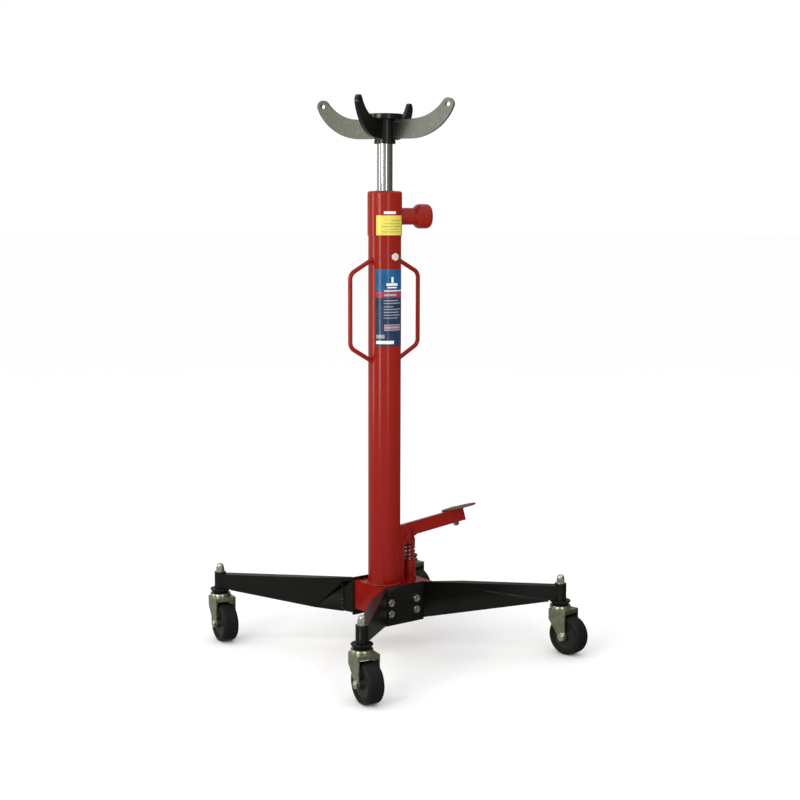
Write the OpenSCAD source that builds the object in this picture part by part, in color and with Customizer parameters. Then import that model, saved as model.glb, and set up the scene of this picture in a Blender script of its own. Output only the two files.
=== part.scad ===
// Vertical transmission jack: a telescopic hydraulic column on a four-caster base,
// with a foot pump and a four-armed saddle on the ram.
// +X points from the column to the foot pump, +Z up, floor at Z = 0.

/* [Column] */
// Outer diameter of the column tube
column_d = 74.5; // [70:0.5:76]
// Wall of the column tube
column_wall = 4; // [3:0.5:5]
// Height of the collar's top above the floor
column_top = 1050; // [1040:1:1060]
// Outer diameter of the collar
collar_d = 78; // [77:0.5:80]
// Height of the collar
collar_h = 99; // [90:1:110]

/* [Ram and saddle] */
// Diameter of the chromed ram
ram_d = 35; // [32:0.5:36]
// How far the ram stands out of the collar at rest
ram_out = 104; // [80:1:140]
// Diameter of the saddle's round plate
plate_d = 81; // [76:1:86]
// Thickness of one saddle arm
arm_t = 8; // [6:0.5:9]
// Heading of the first saddle arm, degrees from +X
arm_heading = 30.8; // [0:0.1:90]
// Diameter of the hole in each arm tip
arm_hole_d = 11; // [9:0.5:13]

/* [Base] */
// Distance from the base centre to a caster stem, along X and along Y
caster_xy = 282.4; // [275:0.1:290]
// Height of the top edge of the legs
leg_top = 156; // [153:1:163]
// Width of a leg
leg_w = 22; // [20:1:26]
// Sheet thickness of the V-frames
sheet = 4; // [3:0.5:5]
// Width of the base block across the V-frames
block_w = 122; // [118:1:126]
// Height of the base block's top
block_top = 150; // [146:1:152]

/* [Pump] */
// Distance from the column axis to the plunger axis
plunger_x = 73.5; // [72:0.5:76]
// Upward slope of the pedal lever at rest, degrees
lever_slope = 5.8; // [3:0.1:8]
// Roll of the pedal lever about its own length, degrees
lever_roll = 15; // [0:1:16]
// Side of the square lever tube
lever_side = 30; // [28:1:32]
// Diameter of the round pedal plate
pedal_d = 84; // [76:1:90]

/* [Handles] */
// Diameter of the handle rod
handle_rod_d = 10; // [8:0.5:12]
// Distance from the column axis to the grip
handle_reach = 96; // [90:1:104]

/* [Casters] */
// Wheel diameter
wheel_d = 89; // [84:1:90]
// Wheel width
wheel_w = 38; // [34:1:38]
// How far the wheel trails its stem
trail = 25.5; // [24:0.5:28]

/* [Hidden] */
$fn = 64;

red = "#9c2f22";
black = "#1a1a16";
zinc = "#8f8f7c";
steel = "#b4b4b0";
rubber = "#22221f";

// the column axis in the part's frame, whose origin is the middle of the footprint
column_xy = [-11, 25];
// the base centre lies ahead of the column axis by this much
base_shift = 11;
gap = 0.3;      // between faces of parts that move apart
fit = 0.05;     // radial clearance of a running fit

// base block
block_x0 = -40;
block_x1 = 98;
block_z0 = 82;
boss_top = block_top + 5;
// frame bolts
bolt_mid = 4.1;   // middle of the bolts, ahead of the column axis
bolt_dx = 36.6;
bolt_z = [95, 121];
bolt_d = 10;
bolt_depth = 24;
washer_d = 16;
washer_t = 2;
// V-frames
plate_face = block_w / 2 + sheet;
plate_z0 = 66;
bend_x = 55;
flare_start = 172;   // radial distance at which a leg takes its full width
sleeve_d = 27;
sleeve_z0 = 122;
sleeve_rise = 4.5;   // the sleeve stands this far above the leg
sleeve_z1 = leg_top + sleeve_rise;
stem_d = 12;
// column and hydraulics
collar_z0 = column_top - collar_h;
tube_id = column_d - 2 * column_wall;
seat_z = 142;
cylinder_top = 987;
cylinder_d = 50;
cylinder_id = 40;
guide_top = 1044;
guide_d = 60;
saddle_z0 = column_top + ram_out;
saddle_z1 = 1208;
plate_top = 1220;
hub_d = 46;
screw_z = 1180;
spigot_d = 28;
piston_z0 = 256;
piston_h = 30;
piston_pin_d = 24;
// saddle arm outline, in the plane of the arm: radius and height
tip = [150, 1239];
tip_r = 14;
under_arc = [59.5, 1278.4, 112.9];
upper_arc = [65.1, 1299.4, 90.2];
// release valve
release_heading = -22;
release_z = 994;
stem_out = 66.5;
knob_out = 109.5;
knob_d = 55;
// filler plug
plug_heading = -92.5;
plug_z = 904;
// pump
fulcrum = [50, 257];
pin_z = 261;
head_z0 = 234;
head_top = 245;
clevis_top = 272;
spring_z0 = 197;
gland_d = 30;
groove_z = [165, 190];
spring_d = 29;
wire_d = 4.6;
spring_turns = 4;
ear_y0 = 19;
ear_t = 5;
lever_wall = 2.5;
lever_x0 = 46;
lever_x1 = 231;
lever_z_at_pin = 266.9;
pedal_x = 226;
// casters
axle_z = wheel_d / 2;
axle_d = 12;
rim_r = 31;      // the tyre sits on the wheel at this radius
fork_inner = 44;
fork_t = 3;
fork_top = 104;
fork_x0 = -14;   // front and back of a fork, measured from the stem
fork_x1 = 33;
crown_t = 4;
crown_d = 47;
front_lip_z = 80;
rear_lip_z = 95;
race_z0 = 111;
race_inner_r = 6.2;
race_r = 19.2;
flange_r = 23.5;
race_step_z = 117;   // the flange of a swivel starts here
ball_circle_r = 14.5;
ball_d = 4;
CASTERS = [[-1, 1, -99], [-1, -1, -99], [1, -1, -82], [1, 1, -85]];

module place() { translate([column_xy[0], column_xy[1], 0]) children(); }

// cylinder along X, its axis through the origin
module along_x(d, x0, x1, fn = 64) {
    translate([x0, 0, 0]) rotate([0, 90, 0]) cylinder(d = d, h = x1 - x0, $fn = fn);
}

// cylinder along Y, its axis through the origin
module along_y(d, y0, y1, fn = 64) {
    translate([0, y0, 0]) rotate([-90, 0, 0]) cylinder(d = d, h = y1 - y0, $fn = fn);
}

// vertical tube
module ring(od, id, z0, z1) {
    translate([0, 0, z0]) difference() {
        cylinder(d = od, h = z1 - z0);
        translate([0, 0, -1]) cylinder(d = id, h = z1 - z0 + 2);
    }
}

// hexagonal prism measured across its flats
module hex(flats, h) { cylinder(d = flats / cos(30), h = h, $fn = 6); }

// extrudes an outline drawn in X and Z to the width y0..y1
module slab(y0, y1) { translate([0, y1, 0]) rotate([90, 0, 0]) linear_extrude(y1 - y0) children(); }

// ---- base ----

function stem_xy(i) = [base_shift + CASTERS[i][0] * caster_xy, CASTERS[i][1] * caster_xy];

// leg in its own frame: X runs outwards from the base centre, Y towards the V's open side
module leg_plan(inset) {
    r_stem = caster_xy * sqrt(2);
    w = leg_w / 2 - inset;
    r_in = plate_face * sqrt(2) - 20;
    polygon([[r_in, w], [r_stem, w], [r_stem, -w], [flare_start, -w], [r_in, w - 2 + inset / 2]]);
}

module leg_side(inset) {
    r_stem = caster_xy * sqrt(2);
    polygon([[50, 71], [r_stem - 317, 71], [r_stem - 140, 100], [r_stem - 26, 119],
        [r_stem - 26, sleeve_z0 + 0.2], [r_stem, sleeve_z0 + 0.2],
        [r_stem, leg_top - inset], [50, leg_top - inset]]);
}

module leg_solid(inset) {
    intersection() {
        translate([0, 0, 50]) linear_extrude(120) leg_plan(inset);
        slab(-40, 40) leg_side(inset);
    }
}

module leg() {
    r_stem = caster_xy * sqrt(2);
    difference() {
        union() {
            difference() {
                leg_solid(0);
                difference() {
                    translate([0, 0, -sheet]) leg_solid(sheet);
                    translate([r_stem - 16, -40, 0]) cube([40, 80, 300]);
                }
            }
            translate([r_stem, 0, sleeve_z0 + 0.2]) cylinder(d = sleeve_d, h = sleeve_z1 - 0.2 - sleeve_z0);
        }
        translate([r_stem, 0, 50]) cylinder(d = stem_d + 0.4, h = 150);
    }
}

// V-frame on the -Y side: middle plate bolted to the block, a leg on each side of it
module v_frame() {
    difference() {
        union() {
            translate([base_shift - bend_x, -plate_face, plate_z0])
                cube([2 * bend_x, sheet, leg_top - plate_z0]);
            difference() {
                translate([base_shift, 0, 0]) for (s = [0, 1]) mirror([s, 0, 0])
                    rotate([0, 0, -45]) mirror([0, 1, 0]) leg();
                translate([-200, -plate_face + sheet, 0]) cube([400, 200, 300]);
                translate([base_shift - bend_x + 2, -plate_face - 40, 0]) cube([2 * bend_x - 4, 40, 300]);
            }
        }
        for (s = [-1, 1]) for (z = bolt_z)
            translate([bolt_mid + s * bolt_dx, -plate_face - 5, z]) along_y(bolt_d + 0.6, 0, 20);
    }
}

module frame_front() { color(black) place() v_frame(); }

module frame_rear() { color(black) place() mirror([0, 1, 0]) v_frame(); }

module base_block() {
    color(red) place() difference() {
        union() {
            translate([block_x0, -block_w / 2, block_z0])
                cube([block_x1 - block_x0, block_w, block_top - block_z0]);
            translate([plunger_x, 0, block_top - 5]) cylinder(d = 34, h = 5 + boss_top - block_top);
        }
        // seat of the pressure cylinder and the reservoir's floor
        translate([0, 0, seat_z]) cylinder(d = cylinder_d + 0.2, h = 20);
        // pump bore with its gland seat
        translate([plunger_x, 0, 100]) cylinder(d = 26.2, h = 80);
        // suction and delivery passages with their valve chambers
        translate([plunger_x, 0, 90]) cylinder(d = 7, h = 20);
        translate([0, 0, 96]) along_x(5, 10, plunger_x);
        translate([10, 0, 92]) cylinder(d = 7, h = 60);
        for (y = [-26, 26]) translate([45, y, 92]) cylinder(d = 12, h = 48);
        translate([45, 0, 96]) along_y(4, -26, 26);
        // tapped holes for the frame bolts
        for (x = [-1, 1]) for (z = bolt_z) for (s = [0, 1]) mirror([0, s, 0])
            translate([bolt_mid + x * bolt_dx, -block_w / 2 - 1, z]) along_y(bolt_d + 0.2, 0, bolt_depth + 3);
    }
}

// one frame bolt, its head outwards along -Y from the washer's face
module frame_bolt() {
    rotate([90, 0, 0]) {
        difference() {
            hex(16, 6.5);
            translate([0, 0, 6]) cylinder(d = 9, h = 2);
        }
        shank = bolt_depth + sheet + washer_t;
        translate([0, 0, 2 - shank]) cylinder(d = bolt_d, h = shank);
    }
}

module at_frame_bolts(y) {
    for (s = [0, 1]) mirror([0, s, 0]) for (x = [-1, 1]) for (z = bolt_z)
        translate([bolt_mid + x * bolt_dx, -y, z]) children();
}

module frame_bolts() { color(zinc) place() at_frame_bolts(plate_face + washer_t) frame_bolt(); }

module frame_washers() {
    color(zinc) place() at_frame_bolts(plate_face)
        rotate([90, 0, 0]) ring(washer_d, bolt_d + 0.4, 0, washer_t);
}

// ---- column and hydraulics ----

module column_tube() {
    color(red) place() difference() {
        ring(column_d, tube_id, block_top, collar_z0);
        rotate([0, 0, plug_heading]) translate([0, 0, plug_z]) along_x(12.2, 20, 60);
    }
}

// rounded rim: a quarter circle of radius r at the outer corner of a turned part
module collar_profile() {
    r = 6;
    ro = collar_d / 2;
    difference() {
        union() {
            translate([guide_d / 2, collar_z0]) square([ro - guide_d / 2, collar_h - r]);
            translate([guide_d / 2, collar_z0]) square([ro - guide_d / 2 - r, collar_h]);
            translate([ro - r, column_top - r]) circle(r = r);
            translate([guide_d / 2, collar_z0 - 16]) square([tube_id / 2 - guide_d / 2 - 0.1, 17]);
            translate([22, column_top - 4]) square([ro - r - 22, 4]);
        }
        translate([guide_d / 2 - 40, collar_z0 - 20]) square([40, 20 + guide_top - collar_z0 + 2]);
    }
}

module column_collar() {
    color(red) place() difference() {
        rotate_extrude() collar_profile();
        rotate([0, 0, release_heading]) translate([0, 0, release_z]) along_x(38.2, 33, 60);
        rotate([0, 0, release_heading]) translate([0, 0, release_z]) along_x(8, 20, 60);
    }
}

module ram_guide() {
    color("#8c6a3c") place() difference() {
        ring(guide_d - 0.1, ram_d + 2 * fit, cylinder_top, guide_top);
        // grooves for the seals
        ring(44, 20, guide_top - 10, guide_top + 1);
        ring(43, 20, 1004, 1012);
        // pocket for the spindle's ball seat
        rotate([0, 0, release_heading]) translate([0, 0, release_z]) along_x(10, 24, 40);
    }
}

module rod_seals() {
    color(rubber) place() {
        ring(43, ram_d + 2 * fit, 1004, 1012);
        ring(43.8, ram_d + 2 * fit, guide_top - 10, column_top + 1);
    }
}

module pressure_cylinder() { color(steel) place() ring(cylinder_d, cylinder_id, seat_z + 2, cylinder_top); }

module cylinder_gasket() { color("#b06a3a") place() ring(cylinder_d, cylinder_id + 1, seat_z, seat_z + 2); }

module ram_rod() {
    color(steel) place() difference() {
        union() {
            translate([0, 0, piston_z0 + piston_h]) cylinder(d = ram_d, h = saddle_z0 - piston_z0 - piston_h);
            translate([0, 0, saddle_z0 - 1]) cylinder(d = spigot_d, h = saddle_z1 - saddle_z0 - 4);
            translate([0, 0, piston_z0 - 12]) cylinder(d = piston_pin_d, h = piston_h + 13);
        }
        ring(60, 23, screw_z - 4.7, screw_z + 4.7);
    }
}

module ram_piston() {
    color("#9a7b45") place() difference() {
        ring(cylinder_id - 2 * fit, piston_pin_d + 0.05, piston_z0, piston_z0 + piston_h);
        ring(60, 33, piston_z0 + 10, piston_z0 + 20);
    }
}

module piston_seal() {
    color(rubber) place() ring(cylinder_id - 2 * fit, 33, piston_z0 + 10, piston_z0 + 20);
}

module piston_nut() {
    color(zinc) place() translate([0, 0, piston_z0 - 10]) difference() {
        hex(32, 10);
        translate([0, 0, -1]) cylinder(d = piston_pin_d + 0.05, h = 12);
    }
}

// points along a path in the X-Z plane, its corners rounded to the radius r
function unit(v) = v / norm(v);
function turn(a, b, c) = acos(unit(b - a) * unit(c - b));
function corner(a, b, c, r, steps = 7) =
    let (u = unit(b - a), v = unit(c - b), bend = turn(a, b, c), side = sign(u[0] * v[1] - u[1] * v[0]),
        start = b - u * r * tan(bend / 2), left = side * [-u[1], u[0]])
    [for (i = [0 : steps]) let (t = bend * i / steps) start + r * (u * sin(t) + left * (1 - cos(t)))];
function rounded(p, r) = concat([p[0]],
    [for (i = [1 : len(p) - 2]) each corner(p[i - 1], p[i], p[i + 1], r)], [p[len(p) - 1]]);

// round rod of diameter d swept along a path in the X-Z plane, one polyhedron
module swept_rod(path, d, sides = 16) {
    n = len(path) - 1;
    heading = [for (i = [0 : n]) unit(path[min(i + 1, n)] - path[max(i - 1, 0)])];
    points = [for (i = [0 : n]) for (k = [0 : sides - 1])
        let (b = 360 * k / sides, across = d / 2 * cos(b), out = [-heading[i][1], heading[i][0]])
        [path[i][0] + across * out[0], d / 2 * sin(b), path[i][1] + across * out[1]]];
    walls = [for (i = [0 : n - 1]) for (k = [0 : sides - 1])
        let (m = (k + 1) % sides) [i * sides + k, i * sides + m, (i + 1) * sides + m, (i + 1) * sides + k]];
    foot = [for (k = [sides - 1 : -1 : 0]) k];
    head = [for (k = [0 : sides - 1]) n * sides + k];
    polyhedron(points, concat(walls, [foot], [head]), convexity = 6);
}

module handle() {
    difference() {
        swept_rod(rounded([[34, 898.5], [handle_reach, 866], [handle_reach, 702], [34, 667]], 20),
            handle_rod_d);
        cylinder(d = column_d, h = 1000);
    }
}

module handle_right() { color(red) place() handle(); }

module handle_left() { color(red) place() mirror([1, 0, 0]) handle(); }

// ---- release valve ----

module at_release() { place() rotate([0, 0, release_heading]) translate([0, 0, release_z]) children(); }

module release_housing() {
    color(red) at_release() difference() {
        along_x(38, 33.5, stem_out);
        along_x(12 + 2 * fit, 30, stem_out + 1);
        along_x(18, 58, 63);
    }
}

module release_knob() {
    neck = stem_out + 0.4;
    rim_r = knob_d / 2;
    shoulder = knob_out - 13;
    edge_r = 12;
    dome_r = 90;
    color(red) at_release() rotate([0, 90, 0]) difference() {
        rotate_extrude() intersection() {
            union() {
                polygon([[0, neck], [19, neck], [rim_r - 2.5, neck + 6], [rim_r, neck + 11],
                    [rim_r, shoulder], [0, shoulder]]);
                translate([rim_r - edge_r, shoulder]) circle(r = edge_r);
                translate([0, shoulder]) square([rim_r - edge_r, knob_out - shoulder]);
            }
            translate([0, knob_out - dome_r]) circle(r = dome_r);
            square([100, 200]);
        }
        translate([0, 0, stem_out]) cylinder(d = 12.1, h = 22);
    }
}

module release_spindle() {
    color(zinc) at_release() {
        along_x(12, 44, stem_out + 22);
        translate([34, 0, 0]) rotate([0, 90, 0]) cylinder(d1 = 3, d2 = 7, h = 10);
    }
}

module release_seal() {
    color(rubber) at_release() rotate([0, 90, 0]) ring(17.8, 12 + 2 * fit, 58.2, 62.8);
}

// ---- filler plug ----

module at_plug() { place() rotate([0, 0, plug_heading]) translate([0, 0, plug_z]) children(); }

module filler_plug() {
    color(zinc) at_plug() rotate([0, 90, 0]) {
        translate([0, 0, column_d / 2 + 1.4]) hex(15, 6);
        translate([0, 0, 30]) cylinder(d = 12, h = 9);
    }
}

module filler_seal() {
    color("#b06a3a") at_plug() rotate([0, 90, 0]) ring(17, 12.2, column_d / 2 + 0.05, column_d / 2 + 1.4);
}

// ---- foot pump ----

module at_plunger() { place() translate([plunger_x, 0, 0]) children(); }

module pump_barrel() {
    color(steel) at_plunger() difference() {
        ring(26, 16 + 2 * fit, 101, 148);
        ring(24, 10, 138, 149);
    }
}

// pump cylinder above the block: the return spring stands on its rim
module pump_gland() {
    color(red) at_plunger() difference() {
        union() {
            translate([0, 0, 138]) cylinder(d = 23.8, h = boss_top - 137);
            translate([0, 0, boss_top]) cylinder(d = gland_d, h = spring_z0 - boss_top);
        }
        translate([0, 0, 130]) cylinder(d = 16 + 2 * fit, h = 70);
        for (z = groove_z) ring(gland_d + 10, gland_d - 1.6, z, z + 1.2);
    }
}

module check_balls() {
    color(steel) place() for (y = [-26, 26]) translate([45, y, 98]) sphere(d = 9);
}

// closed coil of round wire standing on z0, one polyhedron
module coil(d, wire, z0, z1, turns, steps = 18, sides = 8) {
    n = turns * steps;
    rings = [for (i = [0 : n]) let (a = 360 * i / steps, r = (d - wire) / 2, z = z0 + wire / 2 +
        (z1 - z0 - wire) * i / n) [for (k = [0 : sides - 1]) let (b = 360 * k / sides)
        [(r + wire / 2 * cos(b)) * cos(a), (r + wire / 2 * cos(b)) * sin(a), z + wire / 2 * sin(b)]]];
    points = [for (q = rings) for (v = q) v];
    walls = [for (i = [0 : n - 1]) for (k = [0 : sides - 1])
        let (m = (k + 1) % sides, a = i * sides, b = a + sides)
            each [[a + k, b + k, b + m], [a + k, b + m, a + m]]];
    foot = [for (k = [0 : sides - 1]) k];
    head = [for (k = [sides - 1 : -1 : 0]) n * sides + k];
    polyhedron(points, concat(walls, [foot], [head]), convexity = 10);
}

module check_springs() {
    color(zinc) place() for (y = [-26, 26]) translate([45, y, 0]) coil(9, 1.4, 103, 139, 5, 8, 5);
}

// ear of the bracket in X and Z: a strip along the column that widens to a lug at the top
module ear_outline() {
    lug_r = 11;
    polygon([[20, block_top], [40, block_top], [40, 236],
        [fulcrum[0] + lug_r * cos(40), fulcrum[1] - lug_r * sin(40)],
        [fulcrum[0] + lug_r * cos(20), fulcrum[1] + lug_r * sin(20)], [45, 285], [20, 285]]);
    translate(fulcrum) circle(r = lug_r);
}

module fulcrum_bracket() {
    color(red) place() difference() {
        union() {
            for (s = [0, 1]) mirror([0, s, 0]) slab(ear_y0, ear_y0 + ear_t) ear_outline();
            translate([20, -ear_y0 - 1, block_top]) cube([20, 2 * ear_y0 + 2, 80]);
        }
        translate([0, 0, 100]) cylinder(d = column_d + 0.02, h = 300);
        translate([fulcrum[0], 0, fulcrum[1]]) along_y(10.04, -50, 50);
    }
}

module fulcrum_pin() {
    color(red) place() translate([fulcrum[0], 0, fulcrum[1]]) {
        y = ear_y0 + ear_t;
        along_y(10, -y - 2, y + 2);
        along_y(15, -y - 4, -y);
        along_y(14, y, y + 3);
    }
}

// frame of the lever tube: its X axis is the tube's centre line, its origin over the plunger axis
module lever_frame() {
    translate([plunger_x, 0, lever_z_at_pin]) rotate([0, -lever_slope, 0])
        rotate([-lever_roll, 0, 0]) children();
}

module pedal_lever() {
    x0 = lever_x0 - plunger_x;
    x1 = (lever_x1 - plunger_x) / cos(lever_slope);
    s = lever_side / 2;
    w = lever_wall;
    color(red) place() difference() {
        lever_frame() difference() {
            translate([x0, -s, -s]) cube([x1 - x0, 2 * s, 2 * s]);
            translate([x0 - 1, -s + w, -s + w]) cube([x1 - x0 + 1 - w, 2 * s - 2 * w, 2 * s - 2 * w]);
            // open underside over the bracket and the plunger head
            translate([x0 - 1, -s + w, -s - 1]) cube([-x0 + 1 + 22, 2 * s - 2 * w, w + 2]);
            // corner cut back to clear the column
            translate([x0, 0, s]) rotate([0, 45, 0]) cube([12, 3 * s, 12], center = true);
            translate([pedal_x - plunger_x - 14, 0, -30]) cylinder(d = 8.4, h = 80);
        }
        translate([fulcrum[0], 0, fulcrum[1]]) along_y(10 + 2 * fit, -50, 50);
        translate([plunger_x, 0, pin_z]) along_y(8.04, -50, 50);
    }
}

module pedal_plate() {
    color(red) place() lever_frame() translate([pedal_x - plunger_x + 4, 0, lever_side / 2]) difference() {
        cylinder(d = pedal_d, h = 4);
        translate([-18, 0, -1]) cylinder(d = 8.4, h = 10);
    }
}

module pedal_bolt() {
    color(zinc) place() lever_frame() translate([pedal_x - plunger_x - 14, 0, 0]) {
        s = lever_side / 2;
        translate([0, 0, s + 4]) intersection() {
            cylinder(d = 15, h = 4);
            translate([0, 0, -8]) sphere(r = 12);
        }
        translate([0, 0, -s - 9]) cylinder(d = 8, h = 2 * s + 14);
        translate([0, 0, -s - 7]) hex(13, 7);
    }
}

module plunger_pin() {
    color(red) place() translate([plunger_x, 0, pin_z]) {
        along_y(8, -20, 17.5);
        along_y(12, -22.2, -18.8);
        along_y(12, 16, 19.4);
    }
}

module plunger() { color(steel) at_plunger() translate([0, 0, 112]) cylinder(d = 16, h = head_z0 + 9 - 112); }

module plunger_head() {
    color(red) at_plunger() difference() {
        union() {
            translate([0, 0, head_z0]) cylinder(d = 28, h = head_top - head_z0);
            translate([0, 0, head_z0]) intersection() {
                translate([-10, -7.5, 0]) cube([20, 15, clevis_top - head_z0]);
                cylinder(d = 28, h = clevis_top - head_z0);
            }
        }
        translate([0, 0, head_z0 - 1]) cylinder(d = 16.04, h = 10.01);
        for (x = [-0.7, 0, 0.7]) translate([x, 0, pin_z]) along_y(8.6, -20, 20);
        translate([-0.7, -20, pin_z - 4.3]) cube([1.4, 40, 8.6]);
    }
}

module pump_spring() {
    color(red) at_plunger() coil(spring_d, wire_d, spring_z0 + 0.2, head_z0 - 0.2, spring_turns);
}

// ---- saddle ----

module saddle_hub() {
    color(black) place() difference() {
        union() {
            ring(hub_d, spigot_d + 2 * fit, saddle_z0 + gap, saddle_z1);
            ring(hub_d + 2, spigot_d + 2 * fit, saddle_z0 + gap, saddle_z0 + 8);
        }
        rotate([0, 0, arm_heading + 45]) translate([0, 0, screw_z]) along_x(8.1, 10, 40);
    }
}

module saddle_plate() {
    color(black) place() difference() {
        translate([0, 0, saddle_z1]) cylinder(d = plate_d, h = plate_top - saddle_z1);
        translate([0, 0, saddle_z1 + 9]) cylinder(d = plate_d - 12, h = 10);
    }
}

// arm outline: between a lower and an upper arc, closed by a round tip
module arm_outline() {
    difference() {
        union() {
            intersection() {
                translate([under_arc[0], under_arc[1]]) circle(r = under_arc[2], $fn = 128);
                polygon([[hub_d / 2, 1150], [180, 1150],
                    tip + 40 * unit(tip - [upper_arc[0], upper_arc[1]]), tip,
                    tip - 30 * unit(tip - [upper_arc[0], upper_arc[1]]),
                    [upper_arc[0], saddle_z1], [hub_d / 2, saddle_z1]]);
            }
            translate([hub_d / 2, under_arc[1] - under_arc[2]])
                square([under_arc[0] - hub_d / 2, saddle_z1 - under_arc[1] + under_arc[2]]);
        }
        translate([upper_arc[0], upper_arc[1]]) circle(r = upper_arc[2], $fn = 128);
    }
    translate(tip) circle(r = tip_r);
}

module saddle_arms() {
    color(black) place() for (k = [0 : 3]) rotate([0, 0, arm_heading + 90 * k]) difference() {
        slab(-arm_t / 2, arm_t / 2) arm_outline();
        translate([tip[0], 0, tip[1]]) along_y(arm_hole_d, -20, 20);
        cylinder(d = hub_d, h = 1300);
    }
}

module saddle_screw() {
    color(zinc) place() rotate([0, 0, arm_heading + 45]) translate([0, 0, screw_z]) difference() {
        along_x(8, 12, 25);
        translate([22, 0, 0]) rotate([0, 90, 0]) hex(4, 5);
    }
}

// ---- casters ----

module at_stem(i) { place() translate([stem_xy(i)[0], stem_xy(i)[1], 0]) children(); }

module at_stems() { for (i = [0 : 3]) at_stem(i) children(); }

module at_fork(i) { at_stem(i) rotate([0, 0, CASTERS[i][2]]) children(); }

module caster_stems() {
    color(zinc) at_stems() {
        translate([0, 0, 94]) cylinder(d = stem_d, h = 80);
        translate([0, 0, 95]) cylinder(d = 20, h = 4.7);
    }
}

module dome_nuts() {
    color(zinc) at_stems() translate([0, 0, sleeve_z1]) difference() {
        union() {
            cylinder(d = 20, h = 2);
            translate([0, 0, 2]) hex(17, 9);
            translate([0, 0, 11]) intersection() {
                translate([0, 0, 2]) sphere(r = 8.2);
                cylinder(d = 20, h = 20);
            }
        }
        translate([0, 0, -1]) cylinder(d = stem_d + 0.04, h = 15);
    }
}

// upper race of a swivel with its black flange under the sleeve
module race_profile() {
    difference() {
        union() {
            translate([race_inner_r, race_z0]) square([race_r - race_inner_r, race_step_z - race_z0]);
            translate([race_inner_r, race_step_z]) square([flange_r - race_inner_r, sleeve_z0 - race_step_z]);
        }
        translate([ball_circle_r, race_z0 - gap / 2]) circle(d = ball_d + 0.7);
    }
}

module swivel_races() { color(black) at_stems() rotate_extrude() race_profile(); }

module swivel_balls() {
    color(steel) at_stems() for (k = [0 : 9])
        rotate([0, 0, 36 * k]) translate([ball_circle_r, 0, race_z0 - gap / 2]) sphere(d = ball_d);
}

// side plate of a fork in its own frame: X backwards along the trail
module fork_side() {
    polygon([[fork_x0, fork_top], [fork_x0, front_lip_z], [trail - 9.4, axle_z - 3.4],
        [fork_x1, axle_z], [fork_x1, fork_top]]);
    translate([trail, axle_z]) circle(r = 10);
}

module fork(i) {
    half = fork_inner / 2;
    width = fork_inner + 2;
    color(zinc) at_fork(i) difference() {
        union() {
            for (s = [0, 1]) mirror([0, s, 0]) slab(half, half + fork_t) fork_side();
            translate([fork_x0, -half - 1, fork_top - crown_t]) cube([fork_x1 - fork_x0, width, crown_t]);
            // lips turned down at the front and at the back
            translate([fork_x0, -half - 1, front_lip_z]) cube([fork_t, width, fork_top - front_lip_z - 1]);
            translate([fork_x1 - fork_t, -half - 1, rear_lip_z])
                cube([fork_t, width, fork_top - rear_lip_z - 1]);
            translate([0, 0, fork_top - 1]) cylinder(d = crown_d, h = race_z0 - gap - fork_top + 1);
        }
        cylinder(d = stem_d + 2 * fit, h = 200);
        rotate_extrude() translate([ball_circle_r, race_z0 - gap / 2]) circle(d = ball_d + 0.7);
        translate([trail, 0, axle_z]) along_y(axle_d + 0.04, -40, 40);
    }
}

module axle(i) {
    half = fork_inner / 2 + fork_t;
    color(zinc) at_fork(i) translate([trail, 0, axle_z]) {
        along_y(axle_d, -half - 7, half + 1);
        translate([0, half, 0]) rotate([-90, 0, 0]) hex(17, 5);
        translate([0, -half, 0]) rotate([90, 0, 0]) hex(17, 6);
    }
}

module wheel_hub(i) {
    w = wheel_w / 2;
    sleeve = fork_inner / 2 - 1;
    bore_r = axle_d / 2 + fit;
    color("#2a2a26") at_fork(i) translate([trail, 0, axle_z]) rotate([90, 0, 0]) rotate_extrude() {
        translate([bore_r, -sleeve]) square([6, 2 * sleeve]);
        translate([bore_r, 5 - w]) square([24, 2 * w - 10]);
        translate([26, 4 - w]) square([rim_r - 26, 2 * w - 8]);
    }
}

module tyre(i) {
    w = wheel_w / 2;
    r = wheel_d / 2;
    shoulder_r = 6;
    color(rubber) at_fork(i) translate([trail, 0, axle_z]) rotate([90, 0, 0]) rotate_extrude($fn = 96) {
        translate([rim_r + fit, 2 - w]) square([6, 2 * w - 4]);
        translate([rim_r + 5, -w]) square([r - shoulder_r - rim_r - 5, 2 * w]);
        translate([r - shoulder_r - 1, shoulder_r - w]) square([shoulder_r + 1, 2 * w - 2 * shoulder_r]);
        for (s = [-1, 1]) translate([r - shoulder_r, s * (w - shoulder_r)]) circle(r = shoulder_r);
    }
}

module fork_left() { fork(0); }
module fork_front() { fork(1); }
module fork_right() { fork(2); }
module fork_rear() { fork(3); }
module axle_left() { axle(0); }
module axle_front() { axle(1); }
module axle_right() { axle(2); }
module axle_rear() { axle(3); }
module hub_left() { wheel_hub(0); }
module hub_front() { wheel_hub(1); }
module hub_right() { wheel_hub(2); }
module hub_rear() { wheel_hub(3); }
module tyre_left() { tyre(0); }
module tyre_front() { tyre(1); }
module tyre_right() { tyre(2); }
module tyre_rear() { tyre(3); }

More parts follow.
